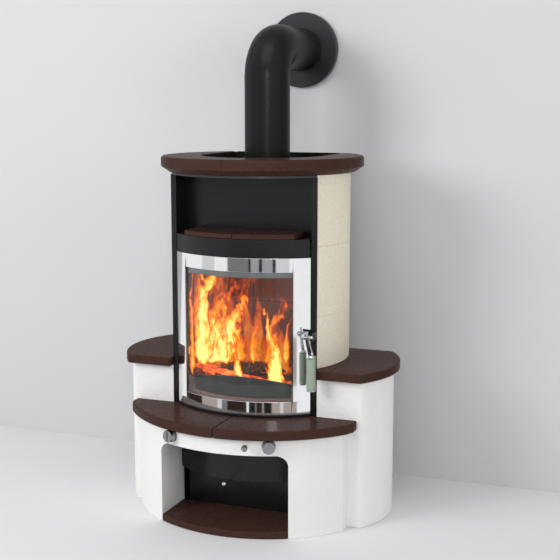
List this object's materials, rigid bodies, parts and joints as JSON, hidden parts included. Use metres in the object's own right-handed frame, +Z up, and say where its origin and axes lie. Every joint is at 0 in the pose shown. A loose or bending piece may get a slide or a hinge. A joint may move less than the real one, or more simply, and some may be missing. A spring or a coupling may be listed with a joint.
{
  "type": "wood stove",
  "caption": "Round-fronted wood stove with bowed glass door, stone cladding, warming compartment, tiled side benches, plastered wood niche and a bent flue to the wall.",
  "frame": {"origin": "on the floor, under the axis of the upright flue pipe", "axes": "+Z up, the door faces -Y, the wall stands at +Y, +X is to the right seen from the front"},
  "size_m": [0.94, 0.805, 1.648],
  "materials": {
    "plaster": "off-white fine plaster",
    "glazed_tile": "dark chocolate-brown glaze, soft gloss",
    "pale_stone": "cream stone with fine speckle",
    "black_steel": "satin black heat-proof paint",
    "polished_steel": "polished stainless sheet",
    "grey_steel": "plain grey sheet steel",
    "fire_brick": "sooted fireproof board",
    "cast_iron": "dark cast iron",
    "firewood": "charred split firewood",
    "rope_seal": "woven glass-fibre rope",
    "clear_glass": "clear ceramic fire glass",
    "chrome": "bright chrome",
    "grip_coat": "pale green-grey heat-proof grip",
    "flue_paint": "dark grey satin flue paint"
  },
  "bodies": {
    "root": {"front_base_wall": "plaster", "plinth_right": "plaster", "plinth_left": "plaster", "bench_tile_right": "glazed_tile", "bench_tile_left": "glazed_tile", "ledge_tile_right": "glazed_tile", "ledge_tile_left": "glazed_tile", "niche_floor_tile": "glazed_tile", "warming_tile_right": "glazed_tile", "warming_tile_left": "glazed_tile", "top_ring_right": "glazed_tile", "top_ring_left": "glazed_tile", "stone_1_right": "pale_stone", "stone_1_left": "pale_stone", "stone_2_right": "pale_stone", "stone_2_left": "pale_stone", "stone_3_right": "pale_stone", "stone_3_left": "pale_stone", "pedestal": "black_steel", "casing": "black_steel", "lower_front": "black_steel", "side_frame_right": "black_steel", "side_frame_left": "black_steel", "sill": "black_steel", "fascia": "black_steel", "compartment_liner": "black_steel", "top_trim": "polished_steel", "top_plate": "black_steel", "rear_shield": "black_steel", "air_box": "grey_steel", "firebox_shell": "grey_steel", "firebox_face": "grey_steel", "hearth_slab": "fire_brick", "grate": "cast_iron", "ash_pan": "grey_steel", "side_lining_right": "fire_brick", "side_lining_left": "fire_brick", "back_lining": "fire_brick", "baffle": "fire_brick", "log_guard": "cast_iron", "log_front": "firewood", "log_rear": "firewood", "log_top": "firewood", "flue_pipe": "flue_paint", "flue_bend": "flue_paint", "flue_tail": "flue_paint", "wall_rosette": "flue_paint", "escutcheon_right": "chrome", "escutcheon_left": "chrome"},
    "door": {"door_frame": "polished_steel", "door_glass": "clear_glass", "glass_retainer": "grey_steel", "door_gasket": "rope_seal", "handle_boss": "chrome"},
    "handle": {"handle_lever": "chrome", "handle_grip": "grip_coat"},
    "air_control_right": {"air_knob_right": "chrome"},
    "air_control_left": {"air_knob_left": "chrome"},
    "damper": {"damper_pull": "chrome"},
    "shutter": {"intake_shutter": "chrome"}
  },
  "joints": [
    {"name": "door_hinge", "type": "hinge", "parent": "root", "child": "door", "pos_m": [-0.222, -0.2165, 0.36], "axis": [0, 0, -1], "range_deg": [0, 90]},
    {"name": "handle_pivot", "type": "hinge", "parent": "door", "child": "handle", "pos_m": [0.2485, -0.26, 0.615], "axis": [-1, 0, 0], "range_deg": [0, 55]},
    {"name": "air_turn_right", "type": "hinge", "parent": "root", "child": "air_control_right", "pos_m": [0.163, -0.40292, 0.299], "axis": [0.3679, -0.9298, 0], "range_deg": [0, 90]},
    {"name": "air_turn_left", "type": "hinge", "parent": "root", "child": "air_control_left", "pos_m": [-0.163, -0.40292, 0.299], "axis": [-0.3679, -0.9298, 0], "range_deg": [0, 90]},
    {"name": "damper_slide", "type": "slide", "parent": "root", "child": "damper", "axis": [0.2167, -0.9762, 0], "range_m": [0, 0.03]},
    {"name": "shutter_slide", "type": "slide", "parent": "root", "child": "shutter", "axis": [0, -1, 0], "range_m": [0, 0.03]}
  ]
}
